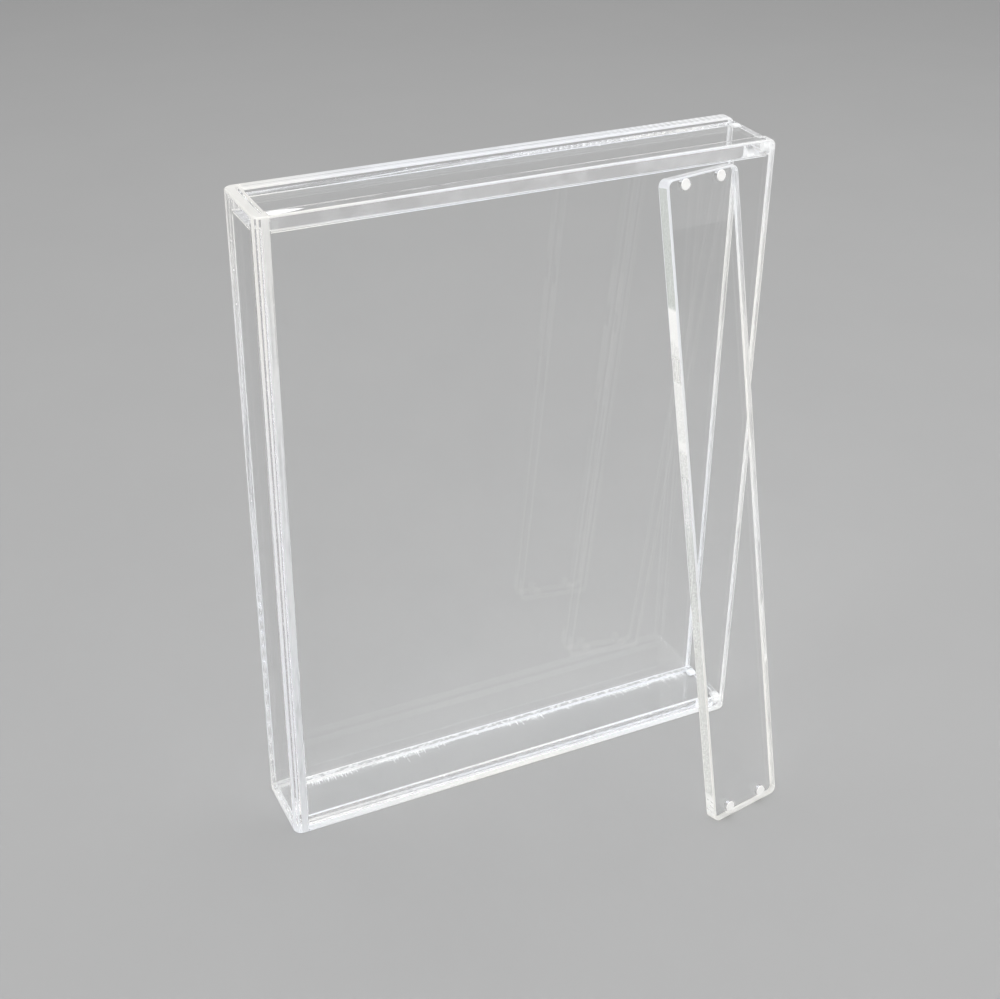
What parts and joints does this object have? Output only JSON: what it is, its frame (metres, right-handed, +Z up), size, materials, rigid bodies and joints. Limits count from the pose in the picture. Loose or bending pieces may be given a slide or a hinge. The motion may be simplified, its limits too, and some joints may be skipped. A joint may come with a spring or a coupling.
{
  "type": "disc display case",
  "caption": "Clear upright acrylic box for a film disc case, open at its right end, with a loose end door held by small round magnets and leaning on its front.",
  "frame": {"origin": "centre of the underside of the case, on the surface it stands on, at half its depth and half its width without the door", "axes": "+X to the right, towards the open end that the door closes; +Y from the broad front panel to the back panel; +Z up"},
  "size_m": [0.142, 0.0703, 0.186],
  "materials": {
    "case_acrylic": "clear polished acrylic",
    "door_acrylic": "clear polished acrylic",
    "magnet_plating": "nickel plated"
  },
  "bodies": {
    "case": {"front_panel": "case_acrylic", "back_panel": "case_acrylic", "top_panel": "case_acrylic", "bottom_panel": "case_acrylic", "side_panel": "case_acrylic", "case_magnet_1": "magnet_plating", "case_magnet_2": "magnet_plating", "case_magnet_3": "magnet_plating", "case_magnet_4": "magnet_plating"},
    "door": {"end_door": "door_acrylic", "door_magnet_1": "magnet_plating", "door_magnet_2": "magnet_plating", "door_magnet_3": "magnet_plating", "door_magnet_4": "magnet_plating"}
  },
  "joints": [
    {"name": "door_lift_off", "type": "slide", "parent": "case", "child": "door", "axis": [0.1697, -0.9626, 0.2113], "range_m": [0, 0.08]}
  ]
}
